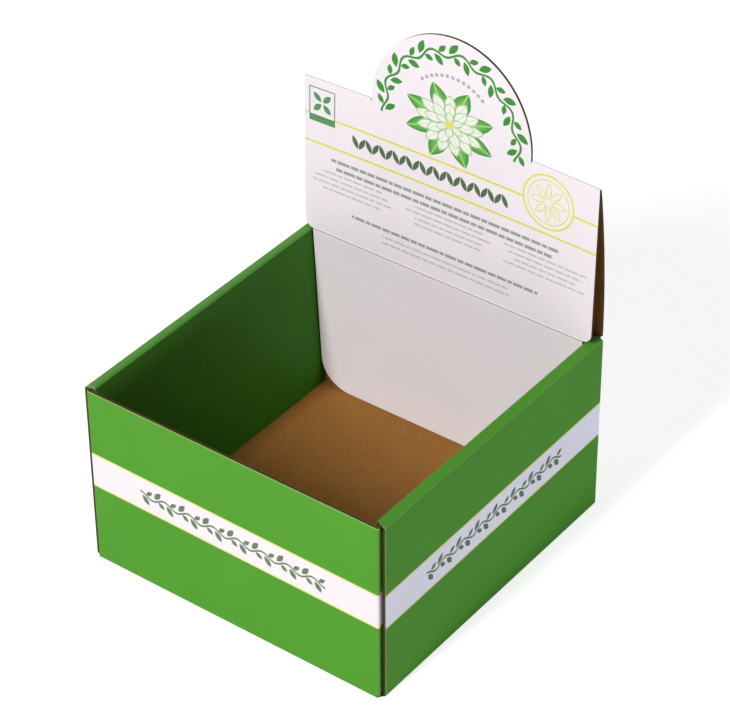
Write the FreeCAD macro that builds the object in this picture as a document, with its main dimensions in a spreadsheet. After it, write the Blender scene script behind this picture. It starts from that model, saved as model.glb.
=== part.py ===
import FreeCAD, Part
import math
import os

import Sketcher
from FreeCAD import Placement, Rotation, Vector

# Counter display tray with a fold-up header, die-cut and folded from one sheet of fine-fluted board.
#
# The sheet is printed on one side. Every fold turns towards the plain side, so the printed face is
# outside on the tray, comes back inside where the side walls roll over, and faces the front again
# where the lid is doubled over to make the header. X runs to the right, Y to the back and Z up. The
# origin is on the floor, under the middle of the tray.

# Driving sizes, in millimetres.
SIZES = {
    "board": 1.6,  # thickness of the sheet
    "fold_radius": 0.3,  # inside radius of a fold
    "tray_width": 200.0,  # over the outer faces of the side walls
    "tray_depth": 206.0,  # over the outer faces of the front and back walls
    "tray_height": 117.5,  # up to the rolled rims
    "front_drop": 0.5,  # front wall's cut edge, below the rims
    "rim_width": 6.2,  # outer face of a side wall to its inner face
    "side_setback": 2.2,  # end of a side wall, behind the face of the front wall
    "rim_setback": 4.6,  # end of the inner wall, behind the face of the front wall
    "ear_clearance": 0.3,  # ear to the side wall outside it
    "ear_length": 84.0,
    "ear_taper": 7.0,
    "ear_corner": 9.0,
    "floor_clearance": 0.3,  # cut edges that stand over the floor
    "tab_width": 30.0,  # lock tabs under the inner walls
    "tab_spacing": 104.0,
    "tab_recess": 0.2,  # tab ends, above the underside of the floor
    "slot_clearance": 0.3,
    "lid_inset": 1.5,  # side edges of the lid, inside the outer faces of the side walls
    "lid_height": 98.0,  # crease on the rims up to the start of the top fold
    "lid_lean": 2.2,  # the header's face leans back by this much over its height
    "lid_stand_off": 12.4,  # face of the header at the rims, in front of the back wall's face
    "rim_clearance": 0.8,  # lid to the rims under it
    "arch_radius": 53.2,
    "cut_gap": 0.6,  # width of the cut that frees the arch
    "flap_clearance": 0.8,  # tuck flap to the inner walls
    "flap_corner": 19.5,
    "flap_foot": 2.2,  # foot of the tuck flap, clear of the back wall
}

SHEET_NAME = "sizes"

# Sketch planes. Seen from the front, x runs right and y up; from the side, x runs back and y up.
PLAN = Placement()
FRONT_VIEW = Placement(Vector(), Rotation(Vector(1, 0, 0), Vector(0, 0, 1), Vector(0, -1, 0), "ZXY"))
SIDE_VIEW = Placement(Vector(), Rotation(Vector(0, 1, 0), Vector(0, 0, 1), Vector(1, 0, 0), "ZXY"))


class Size:
    """A length that knows its value now and its formula in the spreadsheet."""

    def __init__(self, value, formula):
        self.value = value
        self.formula = formula

    @staticmethod
    def of(thing):
        return thing if isinstance(thing, Size) else Size(float(thing), str(float(thing)))

    def joined(self, other, sign, value):
        return Size(value, f"({self.formula} {sign} {other.formula})")

    def __add__(self, other):
        other = Size.of(other)
        return self.joined(other, "+", self.value + other.value)

    def __sub__(self, other):
        other = Size.of(other)
        return self.joined(other, "-", self.value - other.value)

    def __mul__(self, other):
        other = Size.of(other)
        return self.joined(other, "*", self.value * other.value)

    def __truediv__(self, other):
        other = Size.of(other)
        return self.joined(other, "/", self.value / other.value)

    def __neg__(self):
        return Size(-self.value, f"(-1 * {self.formula})")


def named_sizes(doc):
    """Writes the driving sizes into the spreadsheet and returns them as Size objects."""
    sheet = doc.addObject("Spreadsheet::Sheet", SHEET_NAME)
    for row, (alias, value) in enumerate(SIZES.items(), start=1):
        sheet.set(f"A{row}", alias)
        sheet.set(f"B{row}", str(value))
        sheet.setAlias(f"B{row}", alias)
    doc.recompute()
    return {alias: Size(value, f"{SHEET_NAME}.{alias}") for alias, value in SIZES.items()}


def drive(sketch, kind, *where, size):
    """Adds a dimension to a sketch and binds it to the size's formula."""
    index = sketch.addConstraint(Sketcher.Constraint(kind, *where, size.value))
    sketch.setExpression(f"Constraints[{index}]", size.formula)


def pin(sketch, geometry, end, point):
    """Fixes one end of a line or arc by its two ordinates from the origin."""
    drive(sketch, "DistanceX", -1, 1, geometry, end, size=point[0])
    drive(sketch, "DistanceY", -1, 1, geometry, end, size=point[1])


def flat(point):
    return Vector(point[0].value, point[1].value, 0)


def arc_through(start, finish, radius, turn):
    """Short arc from start to finish; turn is 1 to bend left on the way and -1 to bend right."""
    chord = finish - start
    rise = math.sqrt(max(radius**2 - (chord.Length / 2) ** 2, 0.0))
    left = Vector(-chord.y, chord.x, 0).normalize()
    centre = (start + finish) / 2 + left * rise * turn
    first, last = (start, finish) if turn > 0 else (finish, start)
    angles = [math.atan2(p.y - centre.y, p.x - centre.x) for p in (first, last)]
    if angles[1] < angles[0]:
        angles[1] += 2 * math.pi
    return Part.ArcOfCircle(Part.Circle(centre, Vector(0, 0, 1), radius), *angles)


def new_sketch(doc, name, plane):
    sketch = doc.addObject("Sketcher::SketchObject", name)
    sketch.Placement = plane
    return sketch


def draw(sketch, corners, closed):
    """Draws a run of lines and arcs through the corners, each corner pinned by its ordinates.

    A corner is (x, y), or (x, y, radius, turn) where the stretch that leaves it is an arc.
    """
    pairs = list(zip(corners, corners[1:] + corners[:1]))
    if not closed:
        pairs.pop()
    starts, ends = [], []
    for here, there in pairs:
        if len(here) == 2:
            piece = sketch.addGeometry(Part.LineSegment(flat(here), flat(there)), False)
            starts.append((piece, 1))
            ends.append((piece, 2))
            continue
        radius, turn = here[2], here[3]
        arc = arc_through(flat(here), flat(there), radius.value, turn)
        piece = sketch.addGeometry(arc, False)
        starts.append((piece, 1 if turn > 0 else 2))
        ends.append((piece, 2 if turn > 0 else 1))
        drive(sketch, "Radius", piece, size=radius)
    joints = list(zip(ends, starts[1:] + starts[:1]))
    if not closed:
        joints.pop()
    for before, after in joints:
        sketch.addConstraint(Sketcher.Constraint("Coincident", *before, *after))
    for start, corner in zip(starts, corners):
        pin(sketch, *start, corner)
    if not closed:
        pin(sketch, *ends[-1], corners[-1])


def outline(doc, name, plane, *loops):
    """A closed outline, or several, on a sketch plane."""
    sketch = new_sketch(doc, name, plane)
    for corners in loops:
        draw(sketch, corners, closed=True)
    return sketch


def printed_line(doc, name, plane, corners):
    """The printed face of a folded stretch, seen edge on. Its folds turn left on the way."""
    sketch = new_sketch(doc, name, plane)
    draw(sketch, corners, closed=False)
    return sketch


def extrude(doc, name, base, length, back=None):
    """Extrudes along the sketch's normal: both ways alike, or length forward and back backward."""
    solid = doc.addObject("Part::Extrusion", name)
    solid.Base = base
    solid.DirMode = "Normal"
    solid.Solid = True
    solid.Symmetric = back is None
    solid.setExpression("LengthFwd", length.formula)
    if back is not None:
        solid.setExpression("LengthRev", back.formula)
    return solid


def board_from(doc, name, line, length, back=None, side="-"):
    """Gives a printed line the thickness of the board, on its plain side, and its width.

    The offset counts its sides from a plane facing right, back or up, so a front view needs "+".
    """
    section = doc.addObject("Part::Offset2D", f"{name}_section")
    section.Source = line
    section.Mode = "Skin"
    section.Join = "Intersection"
    section.Fill = True
    section.setExpression("Value", f"{side}1 * {SHEET_NAME}.board")
    return extrude(doc, name, section, length, back)


def boolean(doc, kind, name, base, tool):
    made = doc.addObject(f"Part::{kind}", name)
    made.Base = base
    made.Tool = tool
    return made


def mirrored(doc, name, source, normal):
    copy = doc.addObject("Part::Mirroring", name)
    copy.Source = source
    copy.Normal = normal
    return copy


class Stand:
    """The places that more than one piece of the outline is measured from."""

    def __init__(self, doc):
        self.doc = doc
        self.given = named_sizes(doc)
        s = self.given
        self.board = s["board"]
        self.printed_radius = s["fold_radius"] + s["board"]
        self.half_width = s["tray_width"] / 2
        self.front = -(s["tray_depth"] / 2)
        self.back = s["tray_depth"] / 2
        self.rim = s["tray_height"]
        self.ear_face = self.half_width - s["board"] - s["ear_clearance"]
        self.inner_face = self.half_width - s["rim_width"]
        self.over_floor = s["board"] + s["floor_clearance"]
        self.hinge = self.rim + s["rim_clearance"]
        self.crease = (self.back - s["lid_stand_off"], self.hinge)
        self.shoulder = (self.crease[0] + s["lid_lean"], self.hinge + s["lid_height"])
        # The arch was cut round the middle of the crease, which the fold carries past the shoulder.
        self.arch_middle = self.shoulder[1] + self.printed_radius * (math.pi / 2)
        self.lid_half = self.half_width - s["lid_inset"]
        self.flap_half = self.inner_face - s["flap_clearance"]
        self.overlap = self.printed_radius * 3
        self.reach = s["tray_width"] * 2


def floor_slots(stand):
    """The four slots in the floor that the lock tabs drop into."""
    s = stand.given
    near = stand.inner_face - s["slot_clearance"]
    far = stand.inner_face + s["board"] + s["slot_clearance"]
    long = s["tab_width"] / 2 + s["slot_clearance"]
    loops = []
    for side in (1, -1):
        low, high = (near, far) if side > 0 else (-far, -near)
        for end in (1, -1):
            middle = s["tab_spacing"] / 2 * end
            loops.append([
                (low, middle - long),
                (high, middle - long),
                (high, middle + long),
                (low, middle + long),
            ])
    sketch = outline(stand.doc, "slot_outlines", PLAN, *loops)
    return extrude(stand.doc, "slots", sketch, s["board"] * 4)


def tray_wrap(stand):
    """Front wall, floor and back wall in one strip, with the corners that turn into the ears."""
    s, r = stand.given, stand.printed_radius
    zero = stand.board * 0
    top = stand.rim - s["front_drop"]
    line = printed_line(stand.doc, "tray_line", SIDE_VIEW, [
        (stand.front, top),
        (stand.front, r, r, 1),
        (stand.front + r, zero),
        (stand.back - r, zero, r, 1),
        (stand.back, r),
        (stand.back, top),
    ])
    strip = board_from(stand.doc, "tray_strip", line, stand.ear_face * 2)
    plan = outline(stand.doc, "tray_plan", PLAN, [
        (-stand.ear_face + r, stand.front),
        (stand.ear_face - r, stand.front, r, 1),
        (stand.ear_face, stand.front + r),
        (stand.ear_face, stand.back - r, r, 1),
        (stand.ear_face - r, stand.back),
        (-stand.ear_face + r, stand.back, r, 1),
        (-stand.ear_face, stand.back - r),
        (-stand.ear_face, stand.front + r, r, 1),
    ])
    block = extrude(stand.doc, "tray_plan_block", plan, stand.hinge * 2)
    whole = boolean(stand.doc, "Common", "tray_whole", strip, block)
    return boolean(stand.doc, "Cut", "tray_wrap", whole, floor_slots(stand))


def ear(stand):
    """The front wall's right-hand ear, which is caught between the outer and inner side wall."""
    s, r = stand.given, stand.printed_radius
    tip = stand.front + s["ear_length"]
    line = printed_line(stand.doc, "ear_line", PLAN, [
        (stand.ear_face - r - stand.overlap, stand.front),
        (stand.ear_face - r, stand.front, r, 1),
        (stand.ear_face, stand.front + r),
        (stand.ear_face, tip),
    ])
    blank = board_from(stand.doc, "ear_blank", line, stand.rim, back=stand.board * 0)
    low = stand.over_floor + s["floor_clearance"]
    high = stand.rim - s["board"] - s["floor_clearance"] * 2
    top = stand.rim - s["front_drop"]
    corner = s["ear_corner"]
    shape = outline(stand.doc, "ear_outline", SIDE_VIEW, [
        (stand.front - r, low),
        (stand.front + r, low),
        (tip - corner, low + s["ear_taper"], corner, 1),
        (tip, low + s["ear_taper"] + corner),
        (tip, high - s["ear_taper"] - corner, corner, 1),
        (tip - corner, high - s["ear_taper"]),
        (stand.front + r, high),
        (stand.front + r, top),
        (stand.front - r, top),
    ])
    block = extrude(stand.doc, "ear_outline_block", shape, stand.reach)
    return boolean(stand.doc, "Common", "ear_front_right", blank, block)


def foot_cut(stand):
    """What is cut from under an inner wall so that only its two lock tabs reach the floor."""
    s = stand.given
    tab, pitch = s["tab_width"] / 2, s["tab_spacing"] / 2
    below, over = -s["board"], stand.over_floor
    sketch = outline(stand.doc, "foot_cut", SIDE_VIEW, [
        (stand.front, below),
        (-pitch - tab, below),
        (-pitch - tab, over),
        (stand.front, over),
    ], [
        (-pitch + tab, below),
        (pitch - tab, below),
        (pitch - tab, over),
        (-pitch + tab, over),
    ], [
        (pitch + tab, below),
        (stand.back, below),
        (stand.back, over),
        (pitch + tab, over),
    ])
    start = stand.inner_face - s["board"] / 2
    sketch.setExpression(".Placement.Base.x", start.formula)
    return extrude(stand.doc, "foot_block", sketch, s["board"] * 2, back=stand.board * 0)


def side_wall(stand):
    """Right-hand side wall: up outside, over the rim, down inside, with tabs through the floor."""
    s, r = stand.given, stand.printed_radius
    outer, inner = stand.half_width, stand.inner_face
    slot_edge = inner + s["board"] + s["slot_clearance"]
    line = printed_line(stand.doc, "side_line", FRONT_VIEW, [
        (slot_edge, stand.board * 0),
        (outer - r, stand.board * 0, r, 1),
        (outer, r),
        (outer, stand.rim - r, r, 1),
        (outer - r, stand.rim),
        (inner + r, stand.rim, r, 1),
        (inner, stand.rim - r),
        (inner, s["tab_recess"]),
    ])
    length = s["tray_depth"] - s["side_setback"] * 2
    wall = board_from(stand.doc, "side_blank", line, length, side="+")
    inner_back = inner + s["board"]
    clear = s["board"] / 2
    rim_end = stand.front + s["rim_setback"]
    ends = outline(stand.doc, "rim_end_cut", PLAN, [
        (inner - clear, stand.front - clear),
        (outer - s["board"], stand.front - clear),
        (outer - s["board"], stand.front + s["side_setback"]),
        (inner_back, rim_end),
        (inner - clear, rim_end),
    ])
    ends.setExpression(".Placement.Base.z", (r + clear).formula)
    front_cut = extrude(stand.doc, "rim_end_block", ends, stand.rim, back=stand.board * 0)
    back_cut = mirrored(stand.doc, "rim_end_block_back", front_cut, Vector(0, 1, 0))
    foot = foot_cut(stand)
    made = boolean(stand.doc, "Cut", "side_front_trimmed", wall, front_cut)
    made = boolean(stand.doc, "Cut", "side_ends_trimmed", made, back_cut)
    return boolean(stand.doc, "Cut", "side_right", made, foot)


def lid_back(stand):
    """Back half of the lid, bowed forward to the top fold, with the hole that the arch left."""
    s, r = stand.given, stand.printed_radius
    doc = stand.doc
    crease, shoulder = stand.crease, stand.shoulder
    low = stand.hinge - stand.overlap
    foot = (stand.back, low - stand.overlap)
    hinge = (stand.back, stand.hinge)
    lean = s["lid_lean"] / s["lid_height"]
    tail = (shoulder[0] - stand.overlap * lean, shoulder[1] - stand.overlap)
    face = (flat(crease) - flat(shoulder)).normalize()
    fold_centre = flat(shoulder) + Vector(-face.y, face.x, 0) * r.value
    over, up = fold_centre.x - stand.back.value, fold_centre.y - hinge[1].value
    bow = (over**2 + up**2 - r.value**2) / (2 * (-over - r.value))
    bow_centre = Vector(stand.back.value - bow, hinge[1].value, 0)
    away = fold_centre - bow_centre
    meeting = math.atan2(away.y, away.x)
    normal = Vector(0, 0, 1)
    facing = math.atan2(flat(shoulder).y - fold_centre.y, flat(shoulder).x - fold_centre.x)

    sketch = new_sketch(doc, "lid_back_line", SIDE_VIEW)
    stem, curve, fold, front = sketch.addGeometry([
        Part.LineSegment(flat(foot), flat(hinge)),
        Part.ArcOfCircle(Part.Circle(bow_centre, normal, bow), 0.0, meeting),
        Part.ArcOfCircle(Part.Circle(fold_centre, normal, r.value), meeting, facing % (2 * math.pi)),
        Part.LineSegment(flat(shoulder), flat(tail)),
    ], False)
    pin(sketch, stem, 1, foot)
    pin(sketch, stem, 2, hinge)
    pin(sketch, front, 1, shoulder)
    pin(sketch, front, 2, tail)
    drive(sketch, "Radius", fold, size=r)
    sketch.addConstraint(Sketcher.Constraint("Tangent", stem, 2, curve, 1))
    sketch.addConstraint(Sketcher.Constraint("Tangent", curve, 2, fold, 1))
    sketch.addConstraint(Sketcher.Constraint("Tangent", fold, 2, front, 1))
    loop = board_from(doc, "lid_back_loop", sketch, s["tray_width"])

    half, neck = stand.lid_half, stand.ear_face - r
    top = stand.arch_middle
    hole = s["arch_radius"] + s["cut_gap"]
    shape = outline(doc, "lid_back_outline", FRONT_VIEW, [
        (-neck, low),
        (neck, low),
        (neck, stand.hinge),
        (half, stand.hinge),
        (half, top),
        (hole, top, hole, -1),
        (stand.board * 0, top - hole, hole, -1),
        (-hole, top),
        (-half, top),
        (-half, stand.hinge),
        (-neck, stand.hinge),
    ])
    block = extrude(doc, "lid_back_outline_block", shape, stand.reach)
    return boolean(doc, "Common", "lid_back", loop, block)


def lid_front(stand):
    """Front half of the lid with the arch above it and the tuck flap below its crease."""
    s, r = stand.given, stand.printed_radius
    doc = stand.doc
    crease, shoulder = stand.crease, stand.shoulder
    lean = s["lid_lean"] / s["lid_height"]
    above = s["arch_radius"] + stand.overlap * 2
    tip = (shoulder[0] + above * lean, shoulder[1] + above)
    low = stand.over_floor
    foot = (stand.back - s["board"] * 2 - s["flap_foot"], low - stand.overlap)
    down = (flat(crease) - flat(tip)).normalize()
    inward = (flat(foot) - flat(crease)).normalize()
    centre = flat(crease) + Vector(-down.y, down.x, 0) * r.value
    turned = centre - Vector(-inward.y, inward.x, 0) * r.value
    angles = [math.atan2(p.y - centre.y, p.x - centre.x) for p in (flat(crease), turned)]

    sketch = new_sketch(doc, "lid_front_line", SIDE_VIEW)
    circle = Part.Circle(centre, Vector(0, 0, 1), r.value)
    face, fold, flap = sketch.addGeometry([
        Part.LineSegment(flat(tip), flat(crease)),
        Part.ArcOfCircle(circle, angles[0] % (2 * math.pi), angles[1] % (2 * math.pi)),
        Part.LineSegment(turned, flat(foot)),
    ], False)
    pin(sketch, face, 1, tip)
    pin(sketch, face, 2, crease)
    pin(sketch, flap, 2, foot)
    drive(sketch, "Radius", fold, size=r)
    sketch.addConstraint(Sketcher.Constraint("Tangent", face, 2, fold, 1))
    sketch.addConstraint(Sketcher.Constraint("Tangent", fold, 2, flap, 1))
    card = board_from(doc, "lid_front_card", sketch, s["tray_width"])

    half, flap_half = stand.lid_half, stand.flap_half
    arch, corner = s["arch_radius"], s["flap_corner"]
    ledge = half - flap_half
    middle = stand.arch_middle
    shape = outline(doc, "lid_front_outline", FRONT_VIEW, [
        (-flap_half + corner, low),
        (flap_half - corner, low, corner, 1),
        (flap_half, low + corner),
        (flap_half, stand.hinge, ledge, 1),
        (half, stand.hinge + ledge),
        (half, shoulder[1]),
        (arch, shoulder[1]),
        (arch, middle, arch, 1),
        (stand.board * 0, middle + arch, arch, 1),
        (-arch, middle),
        (-arch, shoulder[1]),
        (-half, shoulder[1]),
        (-half, stand.hinge + ledge, ledge, 1),
        (-flap_half, stand.hinge),
        (-flap_half, low + corner, corner, 1),
    ])
    block = extrude(doc, "lid_front_outline_block", shape, stand.reach)
    return boolean(doc, "Common", "lid_front", card, block)


def folded_sheet(stand):
    """Joins every panel into the one folded sheet."""
    doc = stand.doc
    across, along = Vector(1, 0, 0), Vector(0, 1, 0)
    front_ear, right_wall = ear(stand), side_wall(stand)
    back_ear = mirrored(doc, "ear_back_right", front_ear, along)
    panels = [
        tray_wrap(stand),
        front_ear,
        back_ear,
        mirrored(doc, "ear_front_left", front_ear, across),
        mirrored(doc, "ear_back_left", back_ear, across),
        right_wall,
        mirrored(doc, "side_left", right_wall, across),
        lid_back(stand),
        lid_front(stand),
    ]
    sheet = doc.addObject("Part::MultiFuse", "folded_sheet")
    sheet.Shapes = panels
    sheet.Refine = True
    sheet.Label = "folded_display_stand"
    return sheet


def check_document(doc):
    doc.recompute()
    failed = [o.Label for o in doc.Objects if {"Invalid", "Error"} & set(o.State)]
    if failed:
        raise RuntimeError(f"these objects did not build: {failed}")
    loose = [o.Label for o in doc.Objects if o.isDerivedFrom("Sketcher::SketchObject") and o.solve()]
    if loose:
        raise RuntimeError(f"these sketches did not solve: {loose}")


def write_part(part):
    shape = part.Shape
    if shape.isNull() or not shape.isValid() or len(shape.Solids) != 1:
        raise RuntimeError(f"{part.Label} is not one valid solid")
    os.makedirs("parts", exist_ok=True)
    shape.exportStep(f"parts/{part.Label}.step")
    box = shape.BoundBox
    print(part.Label, "volume", round(shape.Volume), "faces", len(shape.Faces))
    print("size", round(box.XLength, 2), round(box.YLength, 2), round(box.ZLength, 2))
    print("low corner", round(box.XMin, 2), round(box.YMin, 2), round(box.ZMin, 2))


def main():
    doc = FreeCAD.newDocument("display_stand")
    part = folded_sheet(Stand(doc))
    check_document(doc)
    write_part(part)


main()
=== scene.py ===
# %% [markdown]
# # A counter display stand, folded from one printed sheet
#
# The real stand begins as a flat sheet of thin fluted board. It is printed on one side, cut and scored
# by a die, and folded. This script takes the same road: it cuts the flat blank, gives it the
# thickness of the board, folds it, and then prints it with shader arithmetic written in the flat
# coordinates of the blank.
#
# Lengths are in millimetres until the very end. In the blank, `u` runs across, `v` runs from the front
# wall's top edge over the floor, up the back, over the lid and down to the end of the tuck flap, and
# `depth` goes into the board, counted from the printed face.

import bmesh
import bpy
import math
from mathutils import Matrix, Vector


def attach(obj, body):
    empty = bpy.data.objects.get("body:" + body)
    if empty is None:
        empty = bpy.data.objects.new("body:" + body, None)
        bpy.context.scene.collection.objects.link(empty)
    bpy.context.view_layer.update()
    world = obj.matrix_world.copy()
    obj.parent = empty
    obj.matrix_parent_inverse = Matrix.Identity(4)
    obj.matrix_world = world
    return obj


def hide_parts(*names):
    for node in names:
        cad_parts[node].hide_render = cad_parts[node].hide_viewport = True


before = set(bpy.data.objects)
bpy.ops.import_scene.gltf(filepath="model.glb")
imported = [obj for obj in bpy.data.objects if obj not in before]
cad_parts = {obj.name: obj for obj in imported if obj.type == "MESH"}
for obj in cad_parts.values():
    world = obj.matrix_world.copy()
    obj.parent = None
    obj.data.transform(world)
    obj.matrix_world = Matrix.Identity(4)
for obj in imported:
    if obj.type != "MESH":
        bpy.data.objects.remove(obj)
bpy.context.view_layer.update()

# %% [markdown]
# ## Sizes
#
# A score line crushes the board, so a fold is tighter than the uncrushed board could make it. The
# double fold at the top of the header is crushed flat. Side 1 is the right side and side -1 the left one.
# A setback is how far a side wall's end steps back from the front or the back, at the wall and at the rim.

# %% Sizes of the stand
BOARD = 1.6
WIDTH, DEPTH, RIM = 200.0, 206.0, 117.5
WALL_TOP, HINGE = 117.0, 118.3
RIM_WIDTH, RIM_TILT = 6.2, {1: 0.40, -1: 0.12}
FRONT_SETBACKS = {1: (3.8, 4.6), -1: (2.2, 2.8)}
BACK_SETBACKS = (2.0, 2.4)
EAR_FACE, EAR_TIP, EAR_LOW, EAR_HIGH = 97.7, -19.0, 2.2, 114.0
EAR_TAPER, EAR_CORNER, EAR_DRAW, EAR_DRAW_RADIUS = 7.0, 9.0, 0.7, 3.0
OVER_FLOOR, TAB_END = 1.9, 0.2
TAB_HALF, TAB_MIDDLE, SLOT_GAP = 15.0, 52.0, 0.05
NECK, NECK_DROP, CORNER_CUT = 96.2, 1.0, 0.2
LID_HALF, LID_OVERLAP, FLAP_HALF, FLAP_CORNER = 98.5, 1.2, 93.0, 19.5
FRONT, BACK = -DEPTH / 2, DEPTH / 2
CREASE, SHOULDER, FLAP_FOOT = (90.6, HINGE), (92.8, 216.8), (97.6, OVER_FLOOR)
ARCH_RADIUS, ARCH_RISE, ARCH_PARTS, CUT_GAP = 53.2, 2.5, 72, 0.6
ARCH_CURL, HEADER_BOW, FRONT_DRIFT = 1.8, 2.6, 0.7
FOLD, TOP_FOLD, FOLD_GAP = 1.1, 0.9, 0.1
HINGE_FULLNESS, HINGE_FOLDED = 0.8, 0.6
CRUSH_REACH = 1.6
GRID, ROWS_ACROSS = 12.0, 8
SHARP_CORNER = math.radians(35)
QUARTER = math.pi / 2

# %% [markdown]
# ## Walking along the folded board
#
# Seen edge on, each run of panels is one line: straight, bend, straight, bend. A `Walk` follows the
# printed face and leaves a mark wherever the flat blank will need a line of points. Bends turn left,
# towards the plain side, so the plain face lies to the left of the way.

# %% The walk
class Walk:
    """Follows the printed face, seen edge on, through straights and bends."""

    def __init__(self, start, heading, travelled):
        self.point = Vector(start)
        self.heading = heading
        self.travelled = travelled
        self.marks = []
        self.mark(1.0)

    def mark(self, fullness, folded=0.0):
        """Notes this place, how much of the board's thickness is left, and how folded it is."""
        self.marks.append((self.travelled, self.point.copy(), self.heading, fullness, folded))

    def step(self, length):
        self.point += Vector((math.cos(self.heading), math.sin(self.heading))) * length
        self.travelled += length

    def go(self, length, crushed_end=True):
        """Walks straight on. The board swells back to its full thickness beside each score line."""
        reach = min(CRUSH_REACH, length / 3)
        parts = max(1, round((length - 2 * reach) / GRID))
        stretches = [reach] + [(length - 2 * reach) / parts] * parts + [reach]
        for stretch in stretches[:-1]:
            self.step(stretch)
            self.mark(1.0)
        self.step(stretches[-1])
        if not crushed_end:
            self.mark(1.0)
        return self

    def turn(self, angle, radius):
        """One short chord of an arc. The board itself is as long as the arc."""
        chord = 2 * radius * math.sin(angle / 2)
        self.heading += angle / 2
        self.step(chord)
        self.travelled += radius * angle - chord
        self.heading += angle / 2

    def bend(self, angle, radius, parts=8):
        """Turns left round a score line, with no more board inside the fold than fits there."""
        fullness = min(1.0, (radius - FOLD_GAP) / BOARD)
        self.mark(fullness)
        middle = parts / 2
        for index in range(parts):
            self.turn(angle / parts, radius)
            self.mark(fullness, 1.0 - abs(index + 1 - middle) / middle)
        return self

    def bow(self, angle, radius, parts):
        """Turns left on a wide curve, where the board keeps its full thickness."""
        for _ in range(parts):
            self.turn(angle / parts, radius)
            self.mark(1.0)
        return self

    def stations(self):
        return [mark[0] for mark in self.marks]

    def place(self, travelled, depth):
        """The point at a depth into the board, and how folded the board is there."""
        marks = self.marks
        index = 1
        while index < len(marks) - 1 and marks[index][0] < travelled - 1e-6:
            index += 1
        before, after = marks[index - 1], marks[index]
        share = (travelled - before[0]) / max(after[0] - before[0], 1e-9)
        point = before[1].lerp(after[1], share)
        held = min(max(share, 0.0), 1.0)
        heading, fullness, folded = (before[i] + (after[i] - before[i]) * held for i in (2, 3, 4))
        left = Vector((-math.sin(heading), math.cos(heading)))
        return point + left * depth * fullness, folded


# %% [markdown]
# ## The long run: front, floor, back, lid, tuck flap
#
# The lid's back half bows forward to meet the front half. Its curve starts upright on the back wall and
# ends where it touches the small circle of the top fold, which fixes its radius.

# %% Walk the long run
def heading_between(start, finish):
    return math.atan2(finish[1] - start[1], finish[0] - start[0]) % (2 * math.pi)


down_face = heading_between(SHOULDER, CREASE)
down_flap = heading_between(CREASE, FLAP_FOOT)
fold_centre = Vector(SHOULDER) + Vector((-math.sin(down_face), math.cos(down_face))) * TOP_FOLD
over, up = fold_centre.x - BACK, fold_centre.y - HINGE
bow_radius = (over**2 + up**2 - TOP_FOLD**2) / (2 * (-over - TOP_FOLD))
bow_angle = math.atan2(up, bow_radius + over)

long_run = Walk((FRONT, WALL_TOP), -QUARTER, 0.0)
long_run.go(WALL_TOP - FOLD).bend(QUARTER, FOLD)
floor_start = long_run.travelled
long_run.go(DEPTH - 2 * FOLD).bend(QUARTER, FOLD)
back_start = long_run.travelled
long_run.go(HINGE - FOLD).mark(HINGE_FULLNESS, HINGE_FOLDED)
hinge_line = long_run.travelled
long_run.bow(bow_angle, bow_radius, 9).bend(down_face - QUARTER - bow_angle, TOP_FOLD, 10)
shoulder_line = long_run.travelled
long_run.go((Vector(CREASE) - Vector(SHOULDER)).length).bend(down_flap - down_face, FOLD, 2)
crease_line = long_run.travelled
long_run.go((Vector(FLAP_FOOT) - long_run.point).length, crushed_end=False)
flap_end = long_run.travelled
floor_end = back_start - FOLD * QUARTER
print("blank length", round(flap_end, 1), "bow radius", round(bow_radius), "ends at", long_run.point)

# %% [markdown]
# ## The short runs: side walls and ears
#
# A side wall goes up outside, over the rim and down inside. The rims slope down outwards, the right one
# (side 1) more than the left one (side -1). An ear turns round the corner from the front or back wall,
# draws in behind the fold, and is caught between the two thicknesses of the side wall.

# %% Walk the short runs
side_edge = WIDTH / 2 - FOLD


class SideRun:
    """A side wall's way up, over its sloping rim and down inside, and where each part begins."""

    def __init__(self, tilt):
        walk = Walk((side_edge, 0.0), 0.0, side_edge)
        strip_length = (RIM_WIDTH - 2 * FOLD) / math.cos(tilt)
        wall_length = RIM - 2 * FOLD - strip_length * math.sin(tilt)
        walk.bend(QUARTER, FOLD)
        self.wall_start = walk.travelled
        walk.go(wall_length).bend(QUARTER - tilt, FOLD)
        self.strip_start = walk.travelled
        walk.go(strip_length).bend(QUARTER + tilt, FOLD)
        self.strip_end = walk.travelled - FOLD * QUARTER
        walk.go(RIM - FOLD - OVER_FLOOR, crushed_end=False)
        self.inner_end = walk.travelled
        walk.go(OVER_FLOOR - TAB_END, crushed_end=False)
        self.tab_end = walk.travelled
        self.walk = walk


side_runs = {side: SideRun(RIM_TILT[side]) for side in (1, -1)}
wall_start = side_runs[1].wall_start

ear_edge = EAR_FACE - FOLD
ear_run = Walk((ear_edge, 0.0), 0.0, ear_edge)
ear_run.bend(QUARTER + EAR_DRAW, FOLD)
ear_turned = ear_run.travelled
ear_run.bow(-EAR_DRAW, -EAR_DRAW_RADIUS, 4)
ear_run.go(EAR_TIP - FRONT - ear_run.point.y, crushed_end=False)
ear_end = ear_run.travelled
print("blank half width", round(side_runs[1].tab_end, 1), "ear reaches", round(ear_end, 1))


# %% [markdown]
# ## Cutting the blank
#
# One outline for half of the sheet, from the front wall's top edge to the flap's foot, serves right and
# left. Only the front and back ends of the side walls differ a little. Curves are short straight cuts.

# %% Outline helpers
def arc(centre, radius, start, finish, parts=10):
    """Points along an arc, from one angle to another in degrees."""
    angles = [math.radians(start + (finish - start) * i / parts) for i in range(parts + 1)]
    return [(centre[0] + radius * math.cos(a), centre[1] + radius * math.sin(a)) for a in angles]


def front_wall(height):
    """Where a height on the front wall lies along the blank."""
    return WALL_TOP - height


def back_wall(height):
    """Where a height on the back wall lies along the blank."""
    return back_start + height - FOLD


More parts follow.
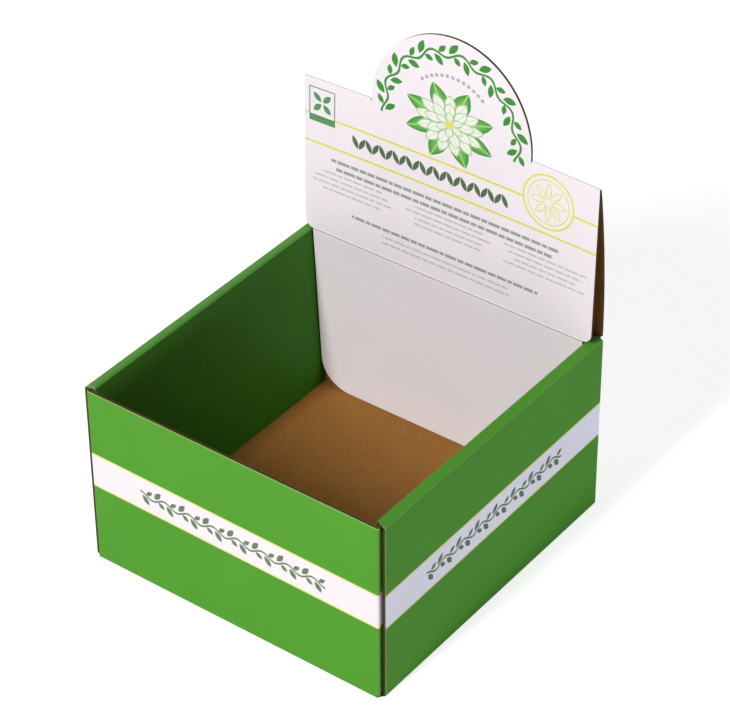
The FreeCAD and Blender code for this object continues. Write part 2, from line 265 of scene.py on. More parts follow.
def on_floor(y):
    """Where a place between front and back lies along the blank."""
    return floor_start + y - FRONT - FOLD


def ear_outline(row):
    """Ear from its upper edge to its lower one; row turns a height into a place in the blank."""
    root = ear_turned + FOLD
    high, low = row(EAR_HIGH - EAR_TAPER), row(EAR_LOW + EAR_TAPER)
    sign = 1 if low > high else -1
    centre = ear_end - EAR_CORNER
    upper = arc((centre, high + sign * EAR_CORNER), EAR_CORNER, -90 * sign, 0)
    lower = arc((centre, low - sign * EAR_CORNER), EAR_CORNER, 0, 90 * sign)
    first = [(root, row(WALL_TOP)), (root, row(EAR_HIGH))]
    last = [(root, row(EAR_LOW)), (ear_edge, row(EAR_LOW))]
    return first + upper + lower + last


def side_outline(side):
    """Side wall, front end first, with the two lock tabs on its inner edge."""
    run = side_runs[side]
    halves = []
    for end, (wall, rim) in ((-1, FRONT_SETBACKS[side]), (1, BACK_SETBACKS)):
        wall_end, rim_end = on_floor(end * (DEPTH / 2 - wall)), on_floor(end * (DEPTH / 2 - rim))
        far, near = on_floor(end * (TAB_MIDDLE + TAB_HALF)), on_floor(end * (TAB_MIDDLE - TAB_HALF))
        halves.append([
            (side_edge, wall_end),
            (run.strip_start, wall_end),
            (run.strip_end, rim_end),
            (run.inner_end, rim_end),
            (run.inner_end, far),
            (run.tab_end, far),
            (run.tab_end, near),
            (run.inner_end, near),
        ])
    return halves[0] + halves[1][::-1]


def half_outline(side):
    """The sheet's edge on one side, from the front wall's top edge to the flap's foot."""
    corner, lid_start = LID_HALF - FLAP_HALF, hinge_line - LID_OVERLAP
    lid_corner = arc((FLAP_HALF, crease_line - corner), corner, 0, 90, 8)
    flap_corner = arc((FLAP_HALF - FLAP_CORNER, flap_end - FLAP_CORNER), FLAP_CORNER, 0, 90, 14)
    return (
        ear_outline(front_wall)
        + [(ear_edge, floor_start - CORNER_CUT)]
        + side_outline(side)
        + [(ear_edge, floor_end + CORNER_CUT)]
        + ear_outline(back_wall)[::-1]
        + [(NECK, back_wall(WALL_TOP - NECK_DROP)), (NECK, lid_start), (LID_HALF, lid_start)]
        + lid_corner
        + flap_corner
    )


def arch_slit():
    """The cut that frees the arch: a thin half ring that ends on the header's shoulder."""
    middle = shoulder_line - ARCH_RISE
    wide = ARCH_RADIUS + CUT_GAP
    inner = arc((0, middle), ARCH_RADIUS, 0, -180, ARCH_PARTS)
    outer = arc((0, middle), wide, -180, 0, ARCH_PARTS)
    legs = [(ARCH_RADIUS, shoulder_line)] + inner + [(-ARCH_RADIUS, shoulder_line)]
    return legs + [(-wide, shoulder_line)] + outer + [(wide, shoulder_line)]


def floor_slot(side, end):
    """The slot in the floor that takes one lock tab of a side wall."""
    near = WIDTH / 2 - RIM_WIDTH - SLOT_GAP
    far = WIDTH / 2 - RIM_WIDTH + BOARD + SLOT_GAP
    half = TAB_HALF + SLOT_GAP
    low, high = on_floor(end * TAB_MIDDLE - half), on_floor(end * TAB_MIDDLE + half)
    return [(side * near, low), (side * far, low), (side * far, high), (side * near, high)]


# %% Cut it out
outer_loop = half_outline(1) + [(-u, v) for u, v in reversed(half_outline(-1))]
holes = [arch_slit()] + [floor_slot(side, end) for side in (1, -1) for end in (1, -1)]

sheet = bmesh.new()
cut_edges = []
for loop in [outer_loop] + holes:
    points = [sheet.verts.new((u, v, 0.0)) for u, v in loop]
    for here, there in zip(points, points[1:] + points[:1]):
        cut_edges.append(sheet.edges.new((here, there)))
bmesh.ops.triangle_fill(sheet, edges=cut_edges, use_beauty=True, normal=(0, 0, 1))

# %% [markdown]
# Every place where the board bends needs a row of points. Long rows cut right across the blank
# are harmless where the board is flat.

# %% Rows of points for the folds
ALONG, ACROSS = Vector((0, 1, 0)), Vector((1, 0, 0))


def rule(line, direction):
    """A row of points along a straight line, square to the direction."""
    everything = sheet.verts[:] + sheet.edges[:] + sheet.faces[:]
    bmesh.ops.bisect_plane(sheet, geom=everything, dist=1e-4, plane_co=direction * line, plane_no=direction)


for line in long_run.stations():
    rule(line, ALONG)
for side, run in side_runs.items():
    flat_rows = [ear_edge * row / ROWS_ACROSS for row in range(1, ROWS_ACROSS)]
    for line in run.walk.stations() + ear_run.stations() + flat_rows:
        rule(side * line, ACROSS)
rule(0.0, ACROSS)
print("flat blank has", len(sheet.faces), "faces")

# %% Give it the thickness of the board
PRINTED, PLAIN, CUT = 0, 1, 2
thick = bmesh.ops.extrude_face_region(sheet, geom=sheet.faces[:], use_keep_orig=True)
for point in thick["geom"]:
    if isinstance(point, bmesh.types.BMVert):
        point.co.z = -BOARD
for face in sheet.faces:
    depths = {round(-point.co.z, 3) for point in face.verts}
    face.material_index = CUT if len(depths) > 1 else (PRINTED if depths == {0.0} else PLAIN)
    face.smooth = True
for edge in sheet.edges:
    kinds = {face.material_index for face in edge.link_faces}
    edge.smooth = len(kinds) == 1
    if kinds == {CUT} and edge.calc_face_angle(0.0) > SHARP_CORNER:
        edge.smooth = False
bmesh.ops.recalc_face_normals(sheet, faces=sheet.faces[:])

# %% [markdown]
# ## Folding
#
# Each point knows which panel it belongs to from its place in the blank. The arch is cut free of the
# lid's back half, so its points carry straight on from the header's front half.

# %% Fold every point
def in_arch(u, v):
    above = min(v - shoulder_line + ARCH_RISE, 0.0)
    inside_cut = math.hypot(u, above) < ARCH_RADIUS + CUT_GAP / 2
    return inside_cut and hinge_line < v < shoulder_line


def place_arch(v, depth):
    """The arch carries straight on from the header, and curls back a little towards its top."""
    back_up = v - shoulder_line
    share = back_up / (ARCH_RADIUS + ARCH_RISE)
    way = Vector((math.cos(down_face), math.sin(down_face)))
    left = Vector((-way.y, way.x))
    curl = ARCH_CURL * share**2
    return Vector(SHOULDER) + way * back_up + left * (depth + curl)


def folded(u, v, depth):
    """Where a point of the flat blank ends up, and how folded the board is there."""
    side = 1 if u >= 0 else -1
    out = abs(u)
    on_side = floor_start < v < floor_end
    if on_side and out > side_edge:
        spot, bent = side_runs[side].walk.place(out, depth)
        along, _ = long_run.place(v, 0.0)
        return Vector((side * spot.x, along.x, spot.y)), bent
    if not on_side and out > ear_edge and v < back_wall(WALL_TOP) + CORNER_CUT / 2:
        spot, bent = ear_run.place(out, depth)
        along, _ = long_run.place(v, 0.0)
        y = FRONT + spot.y if v < floor_start else BACK - spot.y
        return Vector((side * spot.x, y, along.y)), bent
    if in_arch(u, v):
        spot = place_arch(v, depth)
        return Vector((u, spot.x, spot.y)), 0.0
    spot, bent = long_run.place(v, depth)
    return Vector((u, spot.x, spot.y)), bent


def bow(u, v):
    """How far back the middle of the header stands from a flat board: most at the top fold."""
    if in_arch(u, v):
        share = 1.0
    elif v > shoulder_line:
        share = max(0.0, (crease_line - v) / (crease_line - shoulder_line))
    else:
        share = max(0.0, (v - hinge_line) / (shoulder_line - hinge_line))
    return HEADER_BOW * share * (1.0 - (u / LID_HALF) ** 2)


def drift(v):
    """How far the front wall stands to the right of the floor."""
    return FRONT_DRIFT * min(max((floor_start - v) / FOLD, 0.0), 1.0)


flat_place = sheet.verts.layers.float_vector.new("blank")
fold_mark = sheet.verts.layers.float.new("folded")
for point in sheet.verts:
    u, v, depth = point.co.x, point.co.y, -point.co.z
    point[flat_place] = (u, v, depth)
    spot, bent = folded(u, v, depth)
    point[fold_mark] = bent
    spot += Vector((drift(v), bow(u, v), 0.0))
    point.co = spot * 0.001
if sheet.calc_volume(signed=True) < 0:
    bmesh.ops.reverse_faces(sheet, faces=sheet.faces[:])
print("board volume", round(sheet.calc_volume() * 1e9), "cubic mm,", len(sheet.faces), "faces")

mesh = bpy.data.meshes.new("folded_sheet")
sheet.to_mesh(mesh)
sheet.free()
stand = bpy.data.objects.new("folded_sheet", mesh)
bpy.context.scene.collection.objects.link(stand)
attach(stand, "root")
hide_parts("folded_display_stand")


# %% [markdown]
# ## Arithmetic for the print
#
# A `Wire` is one output in a material's node tree. Adding, multiplying or comparing wires adds the
# nodes for it, so the print can be written as formulas.

# %% Wires
class Wire:
    def __init__(self, tree, socket=None):
        self.tree = tree
        self.socket = socket

    def node(self, kind, inputs=(), output=0, **settings):
        """Any other node: its settings, its inputs by name or number, and the output wanted."""
        made = self.tree.nodes.new(kind)
        for name, value in settings.items():
            setattr(made, name, value)
        for key, value in dict(inputs).items():
            plug(self.tree, value, made.inputs[key])
        return Wire(self.tree, made.outputs[output])

    def colour(self, rgb):
        """A wire that carries one colour."""
        made = self.node("ShaderNodeRGB")
        made.socket.default_value = (*rgb, 1.0)
        return made

    def is_vector(self):
        return self.socket.type in {"VECTOR", "RGBA"}

    def math(self, operation, *others, clamp=False):
        inputs = dict(enumerate((self,) + others))
        if any(isinstance(wire, Wire) and wire.is_vector() for wire in inputs.values()):
            return self.node("ShaderNodeVectorMath", inputs, operation=operation)
        return self.node("ShaderNodeMath", inputs, operation=operation, use_clamp=clamp)

    def reflected(self, operation, first):
        kind = "ShaderNodeVectorMath" if self.is_vector() else "ShaderNodeMath"
        return self.node(kind, {0: first, 1: self}, operation=operation)

    def __add__(self, other):
        return self.math("ADD", other)

    def __radd__(self, other):
        return self.reflected("ADD", other)

    def __sub__(self, other):
        return self.math("SUBTRACT", other)

    def __rsub__(self, other):
        return self.reflected("SUBTRACT", other)

    def __mul__(self, other):
        return self.math("MULTIPLY", other)

    def __rmul__(self, other):
        return self.reflected("MULTIPLY", other)

    def __truediv__(self, other):
        return self.math("DIVIDE", other)

    def __neg__(self):
        return self.math("MULTIPLY", -1.0)

    def __abs__(self):
        return self.math("ABSOLUTE")

    def lower(self, other):
        return self.math("MINIMUM", other)

    def higher(self, other):
        return self.math("MAXIMUM", other)

    def cell(self, length):
        """The number of the cell, for a pattern that repeats; cell 0 has zero in its middle."""
        return (self / length + 0.5).math("FLOOR")

    def centred(self, length):
        """Distance from the middle of the cell."""
        return self - self.cell(length) * length

    def solid(self, soft=0.2):
        """Turns a distance inside an edge into ink: 1 within, 0 outside."""
        return self.math("MULTIPLY_ADD", 1.0 / soft, 0.5, clamp=True)

    def positive(self):
        """1 where the value is above zero, 0 where it is below."""
        return self.solid(0.02)

    def clamped(self):
        """The value held between 0 and 1."""
        return self.math("ADD", 0.0, clamp=True)

    def mix(self, other, amount):
        """This colour, replaced by the other as amount goes from 0 to 1."""
        made = self.tree.nodes.new("ShaderNodeMix")
        made.data_type = "RGBA"
        plug(self.tree, amount, made.inputs["Factor"])
        plug(self.tree, self, made.inputs["A"])
        plug(self.tree, other, made.inputs["B"])
        return Wire(self.tree, next(o for o in made.outputs if o.type == "RGBA"))


def plug(tree, value, socket):
    if isinstance(value, Wire):
        tree.links.new(value.socket, socket)
    elif socket.type == "RGBA" and len(value) == 3:
        socket.default_value = (*value, 1.0)
    else:
        socket.default_value = value


class BoardMaterial:
    """A material whose formulas start from each point's place in the flat blank."""

    def __init__(self, name):
        self.material = bpy.data.materials.new(name)
        self.material.use_nodes = True
        self.tree = self.material.node_tree
        start = Wire(self.tree)
        self.blank = start.node("ShaderNodeAttribute", output="Vector", attribute_name="blank")
        self.folded = start.node("ShaderNodeAttribute", output="Fac", attribute_name="folded")
        self.u, self.v, self.depth = (
            start.node("ShaderNodeSeparateXYZ", {0: self.blank}, output=axis) for axis in range(3)
        )

    def paint(self, **inputs):
        """Sets the shader's inputs. An underscore stands for a space in an input's name."""
        shader = self.tree.nodes["Principled BSDF"]
        for name, value in inputs.items():
            plug(self.tree, value, shader.inputs[name.replace("_", " ")])


def noise(place, scale, detail, roughness=0.5):
    inputs = {"Vector": place, "Scale": scale, "Detail": detail, "Roughness": roughness}
    return place.node("ShaderNodeTexNoise", inputs)


def bumps(height):
    """Relief from a height in millimetres."""
    return height.node("ShaderNodeBump", {"Height": height, "Strength": 1.0, "Distance": 0.001})


def hump(wire):
    """A smooth hump of height 1 where the wire is zero."""
    return (-(wire * wire)).math("EXPONENT")


# %% [markdown]
# ## Shapes that the print is made of
#
# Each shape gives the distance inside its edge, in millimetres, so the same softening makes crisp ink of
# any of them.

# %% Shapes
def inside(wire, low, high):
    """Distance inside the nearer of two edges."""
    return (wire - low).lower(high - wire)


def pen(wire, half):
    """A stroke of ink along where the wire is zero."""
    return half - abs(wire)


def distance(dx, dy):
    return (dx * dx + dy * dy).math("SQRT")


def turned(x, y, centre, angle):
    """Coordinates measured from a centre along a turned axis."""
    cosine, sine = math.cos(math.radians(angle)), math.sin(math.radians(angle))
    dx, dy = x - centre[0], y - centre[1]
    return dx * cosine + dy * sine, dy * cosine - dx * sine


def leaf(x, y, centre, angle, length, width):
    """A pointed leaf, bulging evenly to both sides of its midrib."""
    lengthwise, crosswise = turned(x, y, centre, angle)
    share = lengthwise / (length / 2)
    return (1.0 - share * share) * (width / 2) - abs(crosswise)


def polar(x, y, centre, widening=1.0):
    """Distance from a centre, and the angle round it, clockwise from straight up."""
    dx, dy = (x - centre[0]) / widening, y - centre[1]
    return distance(dx, dy), dx.math("ARCTAN2", dy)


def petals(radius, angle, count, offset, middle, length, width):
    """A ring of pointed petals round the pole."""
    local = (angle - offset).centred(2 * math.pi / count)
    return leaf(radius * local.math("COSINE"), radius * local.math("SINE"), (middle, 0), 0, length, width)


def vine(lengthwise, crosswise, pitch, size, count):
    """A waving stem with leaves above and below it in turn, over an odd count of its cells."""
    turn = (lengthwise * (math.pi / pitch)).math("SINE")
    stem = pen(crosswise - turn * (0.16 * size), 0.06 * size)
    flip = (lengthwise.cell(pitch) * math.pi).math("COSINE")
    x = lengthwise.centred(pitch)
    y = crosswise * flip
    upper = leaf(x, y, (-0.05 * size, 0.31 * size), 52, 0.68 * size, 0.32 * size)
    lower = leaf(x, y, (0.19 * size, -0.21 * size), -38, 0.50 * size, 0.26 * size)
    return stem.higher(upper).higher(lower).lower(pen(lengthwise, count * pitch / 2))


def braid(lengthwise, crosswise, pitch, size, count):
    """Slanting leaves that lean one way and the other in turn."""
    flip = (lengthwise.cell(pitch) * math.pi).math("COSINE")
    x = lengthwise.centred(pitch) * flip
    stroke = leaf(x, crosswise, (0, 0), 62, size, 0.36 * size)
    return stroke.lower(pen(lengthwise, count * pitch / 2))


WORD, WORD_GAP, RAGGED = 6.5, 0.45, 4.0


def bars(x, y, left, right, top, rows, pitch, thickness, seed):
    """Rows of short bars with small gaps at uneven places, and ragged ends."""
    below = (top - y) / pitch
    row = below.math("FLOOR")
    in_row = pen((below - row - 0.5) * pitch, thickness / 2)
    shifted = x / WORD + row * 0.37 + seed
    cell = shifted.math("FLOOR")
    pair = cell.node("ShaderNodeCombineXYZ", {0: cell, 1: row, 2: seed})
    chance = cell.node("ShaderNodeTexWhiteNoise", {"Vector": pair})
    gap = abs(shifted - cell - 0.2 - chance * 0.6) * WORD - WORD_GAP
    ragged = (row * 2.1 + seed).math("SINE") * RAGGED
    within = inside(x, left + RAGGED + ragged, right - RAGGED - ragged)
    within = within.lower(inside(y, top - rows * pitch, top))
    return in_row.lower(gap).lower(within)


# %% [markdown]
# ## The printed face
#
# Green everywhere but on the lid and the bands. The bands on the front and back walls run on round the
# corners to the ears. Those of the side walls sit a little lower, and none is quite level, as on the real
# sheet. Shade is painted onto the inner side walls as a deeper green, most of all low down, and light is
# painted onto the side walls' white as a brighter, bluer white.

# %% Inks, painted shade and light, and the places of the print
GREEN, PAINTED_SHADE_GREEN = (0.089, 0.322, 0.033), (0.022, 0.190, 0.006)
WHITE, SIDE_WHITE_PAINTED_LIGHT = (0.865, 0.800, 0.838), (0.91, 0.91, 0.95)
YELLOW = (0.75, 0.73, 0.09)
INK, PALE_INK, BAND_INK = (0.095, 0.155, 0.085), (0.42, 0.44, 0.42), (0.14, 0.22, 0.12)
LEAF, LIGHT_LEAF, MIDRIB = (0.060, 0.280, 0.045), (0.16, 0.48, 0.09), (0.45, 0.70, 0.30)
PETAL, PETAL_EDGE, PETAL_VEIN = (0.84, 0.86, 0.76), (0.40, 0.54, 0.30), (0.60, 0.70, 0.48)
HEART, BADGE_GREEN = (0.72, 0.70, 0.16), (0.10, 0.30, 0.12)
WORN_INK_AND_SHEEN, BARE_EDGE = (0.62, 0.72, 0.52), (0.48, 0.56, 0.27)
BAND_FRONT, BAND_SIDE, BAND_HALF, BAND_LINE = 62.2, 60.2, 11.4, 0.9
FRONT_FALL, SIDE_RISE = 0.012, 0.0135
BAND_VINE = (8.4, 10.5, 15)
PRINT_DROP = 1.6

# %% Bands
printed = BoardMaterial("printed_face")
u, v, blank = printed.u, printed.v, printed.blank
out = abs(u)
on_side_wall = inside(v, floor_start, floor_end).lower(out - side_edge).positive()
on_lid = (v - hinge_line).positive()
wall_up = (WALL_TOP - v).higher(v - (back_start - FOLD)) - BAND_FRONT
wall_up = wall_up + u * FRONT_FALL * (floor_start - v).positive()
side_along = (v - on_floor(0)) * u.math("SIGN")
side_up = out - (wall_start - FOLD + BAND_SIDE) - side_along * SIDE_RISE
up = wall_up + (side_up - wall_up) * on_side_wall
along = u + (side_along - u) * on_side_wall

inner_start, inner_end = side_runs[1].strip_end, side_runs[1].inner_end
# Painted shade: the inner side walls are mixed towards a deeper green, more towards the bottom.
inner_wall_shade = (out - inner_start).solid(0.5) * on_side_wall
inner_down = (out - inner_start) / (inner_end - inner_start)
green = blank.colour(GREEN).mix(PAINTED_SHADE_GREEN, inner_wall_shade * (inner_down * 0.35 + 0.25))
# Painted light: the white on the side walls is brighter and bluer than elsewhere.
white = blank.colour(WHITE).mix(SIDE_WHITE_PAINTED_LIGHT, on_side_wall)
band = pen(up, BAND_HALF).solid(0.12)
band_lines = pen(abs(up) - (BAND_HALF - BAND_LINE / 2), BAND_LINE / 2).solid(0.5)
colour = green.mix(white, band.higher(on_lid))
colour = colour.mix(YELLOW, band_lines * 0.8)
colour = colour.mix(BAND_INK, vine(along, up, *BAND_VINE).solid())

# %% [markdown]
# ### The header's picture
#
# Measured from a little under the crease upwards. A rosette with leaves stands in the arch under a
# garland and a row of beads, two yellow rules cross the board with a braided strip between them, a seal
# and a badge stand at the sides, and rows of bars fill the lower part.

# %% Rules, garland, beads and strip
RULE_HEIGHT, RULE_SPREAD, RULE_HALF = 69.0, 9.0, 0.65
GARLAND_RADIUS, GARLAND_VINE = 44.5, (10.0, 12.5, 15)
BEADS_RADIUS, BEAD_PITCH, BEAD_COUNT, BEAD_RADIUS = 31.5, 3.6, 13, 1.15
STRIP_LEFT, STRIP_HEIGHT, STRIP_BRAID = -13.0, 69.6, (4.6, 8.8, 23)

x, y = u, crease_line - v + PRINT_DROP
rules = pen(abs(y - RULE_HEIGHT) - RULE_SPREAD, RULE_HALF).solid(0.6)
colour = colour.mix(YELLOW, rules * on_lid)

arch_middle = crease_line - shoulder_line + ARCH_RISE
radius, angle = polar(x, y, (0.0, arch_middle))
garland = vine(angle * GARLAND_RADIUS, radius - GARLAND_RADIUS, *GARLAND_VINE)
bead_row = angle * BEADS_RADIUS
beads = BEAD_RADIUS - distance(bead_row.centred(BEAD_PITCH), radius - BEADS_RADIUS)
beads = beads.lower(pen(bead_row, BEAD_COUNT * BEAD_PITCH / 2))
strip = braid(x - STRIP_LEFT, y - STRIP_HEIGHT, *STRIP_BRAID)
colour = colour.mix(LEAF, garland.solid())
colour = colour.mix(PALE_INK, beads.solid())
colour = colour.mix(INK, strip.solid())

# %% Rosette
ROSETTE, ROSETTE_WIDENING, LEAVES = (-1.0, 103.0), 1.25, 8
LEAF_MIDDLE, LEAF_LENGTH, LEAF_WIDTH, LEAF_RIB = 14.5, 21.0, 9.6, 0.3
PETAL_RINGS = ((13, 13.0, 11.0, 6.2), (9, 8.8, 10.0, 6.2), (6, 4.8, 7.0, 4.4))
PETAL_RIM, PETAL_RIB, HEART_RADIUS = 0.32, 0.2, 2.4

radius, angle = polar(x, y, ROSETTE, ROSETTE_WIDENING)
half_turn = math.pi / LEAVES
leaves = petals(radius, angle, LEAVES, half_turn, LEAF_MIDDLE, LEAF_LENGTH, LEAF_WIDTH)
midrib = pen((angle - half_turn).centred(2 * half_turn) * radius, LEAF_RIB).solid(0.3)
leaf_colour = blank.colour(LEAF).mix(LIGHT_LEAF, (leaves * 0.3).clamped()).mix(MIDRIB, midrib)
colour = colour.mix(leaf_colour, leaves.solid())
for count, *sizes in PETAL_RINGS:
    ring = petals(radius, angle, count, 0.0, *sizes)
    vein = pen(angle.centred(2 * math.pi / count) * radius, PETAL_RIB).solid(0.3)
    colour = colour.mix(PETAL, ring.solid())
    colour = colour.mix(PETAL_EDGE, pen(ring - PETAL_RIM, PETAL_RIM).solid(0.25))
    colour = colour.mix(PETAL_VEIN, vein * ring.solid())
colour = colour.mix(HEART, (HEART_RADIUS - radius).solid())

# %% Seal and badge
SEAL, SEAL_RADIUS, SEAL_OUTER, SEAL_INNER = (66.0, 80.0), 17.0, (16.5, 0.55), (13.6, 0.35)
SEAL_STAR, BADGE_STAR, THIN = (7.0, 10.0, 4.2), (4.6, 7.4, 3.6), 0.35
BADGE_WIDE, BADGE_TALL, BADGE_FOOT = (-95.0, -78.0), (74.0, 95.5), 78.0
BADGE_MIDDLE = (sum(BADGE_WIDE) / 2, 86.5)

radius, angle = polar(x, y, SEAL)
star = petals(radius, angle, 8, 0.0, *SEAL_STAR)
rings = pen(radius - SEAL_OUTER[0], SEAL_OUTER[1]).higher(pen(radius - SEAL_INNER[0], SEAL_INNER[1]))
colour = colour.mix(WHITE, (SEAL_RADIUS - radius).solid())
colour = colour.mix(YELLOW, rings.higher(pen(star - THIN, THIN)).solid())

radius, angle = polar(x, y, BADGE_MIDDLE)
badge = inside(x, *BADGE_WIDE).lower(inside(y, *BADGE_TALL))
quarters = petals(radius, angle, 4, math.pi / 4, *BADGE_STAR)
foot = (BADGE_FOOT - y).lower(badge)
colour = colour.mix(WHITE, badge.solid())
colour = colour.mix(BADGE_GREEN, pen(badge, THIN).higher(quarters).higher(foot).solid())

# %% Rows of bars: left, right, top, rows, pitch, thickness, a number for the gaps, and the ink
BAR_ROWS = (
    (-84.0, 78.0, 54.5, 2, 5.0, 2.0, 0.0, INK),
    (-94.0, -37.0, 45.0, 4, 3.7, 1.2, 1.3, PALE_INK),
    (-28.0, 30.0, 45.0, 4, 3.7, 1.2, 2.7, PALE_INK),
    (38.0, 94.0, 45.0, 4, 3.7, 1.2, 4.1, PALE_INK),
    (-66.0, 63.0, 22.0, 1, 4.2, 1.9, 5.3, INK),
    (-50.0, 49.0, 17.0, 2, 4.0, 1.2, 6.9, PALE_INK),
)
for *sizes, ink in BAR_ROWS:
    colour = colour.mix(ink, bars(x, y, *sizes).solid(0.35) * 0.68)

# %% [markdown]
# Ink cracks a little at the folds, a paler sheen is painted onto the left rim, and the paper is bare along
# the cut edges in front. The crease stands up as a ridge with a groove beside it, and the flutes under the
# paper show as a faint washboard.

# %% Printed surface
FLUTE = 3.3
RUBBED, RIM_SHEEN_REACH = 0.7, 1.5
RIDGE_HALF, RIDGE_HEIGHT = 0.55, 0.26
GROOVE_PLACE, GROOVE_DEPTH = -1.9, 0.10
WASHBOARD, ROUGH_INK = 0.006, 0.012


def flutes(u):
    """The wave of the paper inside the board, from -1 to 1."""
    return (u * (2 * math.pi / FLUTE)).math("SINE")


speckle = noise(blank, 1.6, 4.0)
cracked = (printed.folded * (speckle * 1.6 - 0.3)).clamped()
colour = colour.mix(WORN_INK_AND_SHEEN, cracked * 0.12 * (1.0 - on_lid))
# Painted sheen: the left rim's outer part is mixed a little towards a pale colour.
left_rim_sheen = inside(out, side_runs[-1].strip_start - RIM_SHEEN_REACH, side_runs[-1].strip_end).lower(-u)
colour = colour.mix(WORN_INK_AND_SHEEN, left_rim_sheen.solid(1.0) * on_side_wall * 0.07)
side_front = on_floor(FRONT + FRONT_SETBACKS[1][0])
rubbed = (RUBBED - v).higher(pen(v - side_front, RUBBED).lower(out - side_edge)).solid(0.4)
colour = colour.mix(BARE_EDGE, rubbed * (speckle * 1.2 - 0.2).clamped())
shade = noise(blank, 0.02, 3.0) * 0.10 + 0.95
colour = colour * shade.node("ShaderNodeCombineXYZ", {0: shade, 1: shade, 2: shade})
score = (crease_line - v) / RIDGE_HALF
crease = hump(score) * RIDGE_HEIGHT - hump(score - GROOVE_PLACE) * GROOVE_DEPTH
printed.paint(
    Base_Color=colour,
    Roughness=speckle * 0.12 + 0.40,
    Normal=bumps(flutes(u) * WASHBOARD + speckle * ROUGH_INK + crease),
    Specular_IOR_Level=0.04,
)

# %% [markdown]
# ## The plain brown face and the cut edges
#
# The brown side is fibrous paper with a few dark flecks. A cut edge shows two thin liners with the wavy
# paper between them: the wave follows `u`, because the flutes run along `v`, so an edge cut along a flute
# shows no wave. The hollows beside the wavy paper are painted dark as shade, and the liner on the cut
# edges of the side walls and ears is painted darker as shade.

# %% Plain face
BROWN, LIGHT_BROWN, DARK_BROWN = (0.298, 0.121, 0.018), (0.42, 0.21, 0.063), (0.27, 0.110, 0.020)
FLECK, FIBRE_SHAPE = (0.12, 0.05, 0.02), (0.55, 1.6, 1.0)
PLAIN_WASHBOARD, FIBRE_HEIGHT = 0.010, 0.030

plain = BoardMaterial("plain_face")
blank = plain.blank
fibres = noise(blank * FIBRE_SHAPE, 0.9, 6.0, 0.7)
clouds = noise(blank, 0.03, 3.0)
flecks = blank.node("ShaderNodeTexVoronoi", {"Vector": blank, "Scale": 0.17})
colour = blank.colour(BROWN).mix(LIGHT_BROWN, (fibres * 3.6 - 1.3).clamped() * 0.66)
colour = colour.mix(DARK_BROWN, clouds * 0.5)
colour = colour.mix(FLECK, (0.10 - flecks).solid(0.05) * 0.5)
plain.paint(
    Base_Color=colour,
    Roughness=0.88,
    Normal=bumps(flutes(plain.u) * PLAIN_WASHBOARD + fibres * FIBRE_HEIGHT),
    Specular_IOR_Level=0.2,
)

# %% Cut edges
LINER, PAPER_HALF = 0.28, 0.16
HOLLOW_SHADE, FLUTE_PAPER, GRIT = (0.032, 0.022, 0.007), (0.14, 0.10, 0.028), (0.07, 0.045, 0.012)
FACING, SHADED_SIDE_FACING = (0.22, 0.25, 0.10), (0.12, 0.15, 0.07)

cut = BoardMaterial("cut_edge")
blank, depth = cut.blank, cut.depth
wave = flutes(cut.u) * (BOARD / 2 - LINER) + BOARD / 2
# Painted shade: the liner on the cut edges of the side walls and ears is darker than elsewhere.
facing = blank.colour(FACING).mix(SHADED_SIDE_FACING, (abs(cut.u) - side_edge).positive())
# Painted shade: the hollows between the liners and the wavy paper are filled with a dark colour.
colour = blank.colour(HOLLOW_SHADE).mix(FLUTE_PAPER, pen(depth - wave, PAPER_HALF).solid(0.12))
colour = colour.mix(FLUTE_PAPER, (depth - (BOARD - LINER)).solid(0.1))
colour = colour.mix(facing, (LINER - depth).solid(0.1))
colour = colour.mix(GRIT, noise(blank, 2.2, 4.0) * 0.35)
cut.paint(Base_Color=colour, Roughness=0.9, Specular_IOR_Level=0.15)

for board_material in (printed, plain, cut):
    mesh.materials.append(board_material.material)

# %% [markdown]
# ## Floor, light and camera
#
# The floor keeps a soft shadow and looks white. The sky looks white too, but gives only a dim light. A
# narrow lamp stands high in front, and three weaker ones stand low to the right, behind and to the left.

# %% Floor
def shown(unseen, seen):
    """One shader for the light that bounces, and another for what the camera sees."""
    path = seen.node("ShaderNodeLightPath", output="Is Camera Ray")
    return seen.node("ShaderNodeMixShader", {0: path, 1: unseen, 2: seen}).socket


FLOOR_HALF = 6.0
floor_shape = bmesh.new()
bmesh.ops.create_grid(floor_shape, x_segments=1, y_segments=1, size=FLOOR_HALF)
floor_mesh = bpy.data.meshes.new("floor")
floor_shape.to_mesh(floor_mesh)
floor_shape.free()
floor = bpy.data.objects.new("floor", floor_mesh)
bpy.context.scene.collection.objects.link(floor)

floor_look = bpy.data.materials.new("floor")
floor_look.use_nodes = True
floor_tree = floor_look.node_tree
bouncing = floor_tree.nodes["Principled BSDF"]
bouncing.inputs["Base Color"].default_value = (0.85, 0.85, 0.85, 1.0)
bouncing.inputs["Roughness"].default_value = 0.9
unseen = Wire(floor_tree, bouncing.outputs[0])
seen = unseen.node("ShaderNodeBsdfPrincipled", {
    "Base Color": (0.42, 0.42, 0.42),
    "Roughness": 1.0,
    "Emission Color": (1.0, 1.0, 1.0),
    "Emission Strength": 0.80,
})
floor_tree.links.new(shown(unseen, seen), floor_tree.nodes["Material Output"].inputs["Surface"])
floor_mesh.materials.append(floor_look)

# %% Sky
world = bpy.data.worlds.new("studio")
world.use_nodes = True
bpy.context.scene.world = world
sky = world.node_tree
background = sky.nodes["Background"]
background.inputs["Color"].default_value = (0.93, 0.97, 1.04, 1.0)
background.inputs["Strength"].default_value = 0.05
unseen = Wire(sky, background.outputs[0])
seen = unseen.node("ShaderNodeBackground", {"Color": (1.0, 1.0, 1.0), "Strength": 1.0})
sky.links.new(shown(unseen, seen), sky.nodes["World Output"].inputs["Surface"])

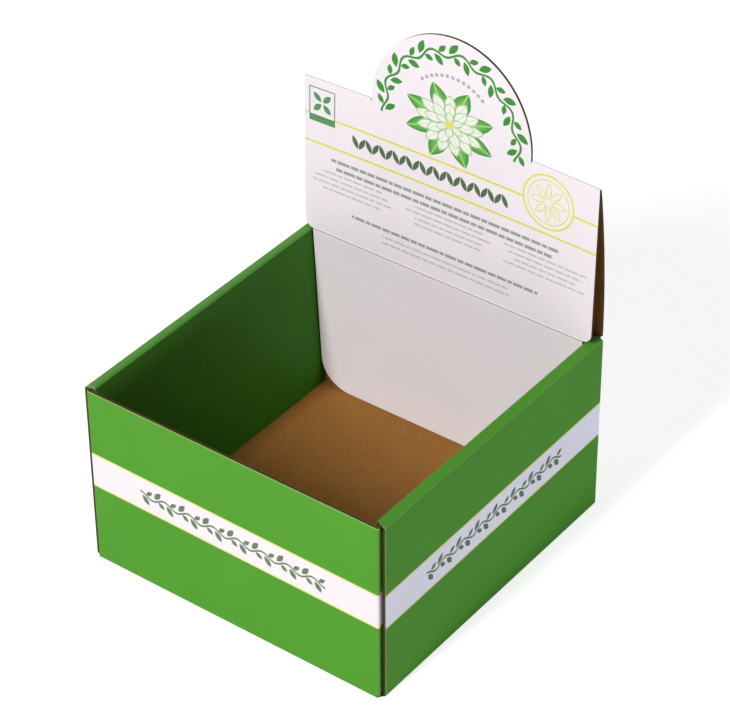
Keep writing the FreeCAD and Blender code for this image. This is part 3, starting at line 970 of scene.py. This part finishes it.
# %% Lamps
def soft_lamp(name, place, aim, width, height, energy, tint=(1.0, 1.0, 1.0)):
    data = bpy.data.lights.new(name, "AREA")
    data.shape = "RECTANGLE"
    data.size = width
    data.size_y = height
    data.energy = energy
    data.color = tint
    lamp = bpy.data.objects.new(name, data)
    way = Vector(aim) - Vector(place)
    turn = way.to_track_quat("-Z", "Y").to_matrix().to_4x4()
    lamp.matrix_world = Matrix.Translation(place) @ turn
    bpy.context.scene.collection.objects.link(lamp)


soft_lamp("key", (-0.12, -2.1, 1.8), (0.0, 0.0, 0.1), 0.30, 1.0, 72.0)
soft_lamp("right fill", (1.9, 0.9, 0.16), (0.05, 0.0, 0.06), 1.2, 0.25, 11.3, (0.98, 0.98, 1.25))
soft_lamp("rear fill", (0.3, 2.2, 0.5), (0.0, 0.0, 0.15), 1.2, 0.4, 22.0)
soft_lamp("left fill", (-2.0, 0.3, 0.16), (0.0, 0.0, 0.06), 1.2, 0.25, 14.0)

# %% [markdown]
# The camera stands to the right of the stand's front and looks down on it, far enough away that the
# upright edges lean in only a little.

# %% Camera
AZIMUTH, ELEVATION, ROLL = math.radians(37.252), math.radians(36.659), math.radians(-0.487)
PLACE = Vector((0.8015, -1.03722, 1.0959))
FOCAL_PIXELS, PICTURE_WIDTH, SENSOR = 3016.2, 730, 36.0
level = Vector((math.cos(AZIMUTH), math.sin(AZIMUTH), 0.0))
backward = Vector((math.sin(AZIMUTH), -math.cos(AZIMUTH), 0.0))
towards = backward * math.cos(ELEVATION) + Vector((0.0, 0.0, math.sin(ELEVATION)))
upward = towards.cross(level)
right_way = level * math.cos(ROLL) + upward * math.sin(ROLL)
up_way = upward * math.cos(ROLL) - level * math.sin(ROLL)
camera_data = bpy.data.cameras.new("camera")
camera_data.sensor_fit = "HORIZONTAL"
camera_data.sensor_width = SENSOR
camera_data.lens = SENSOR * FOCAL_PIXELS / PICTURE_WIDTH
camera = bpy.data.objects.new("camera", camera_data)
axes = Matrix((right_way, up_way, towards)).transposed().to_4x4()
camera.matrix_world = Matrix.Translation(PLACE) @ axes
bpy.context.scene.collection.objects.link(camera)
bpy.context.scene.camera = camera

bpy.context.scene.view_settings.view_transform = "Standard"
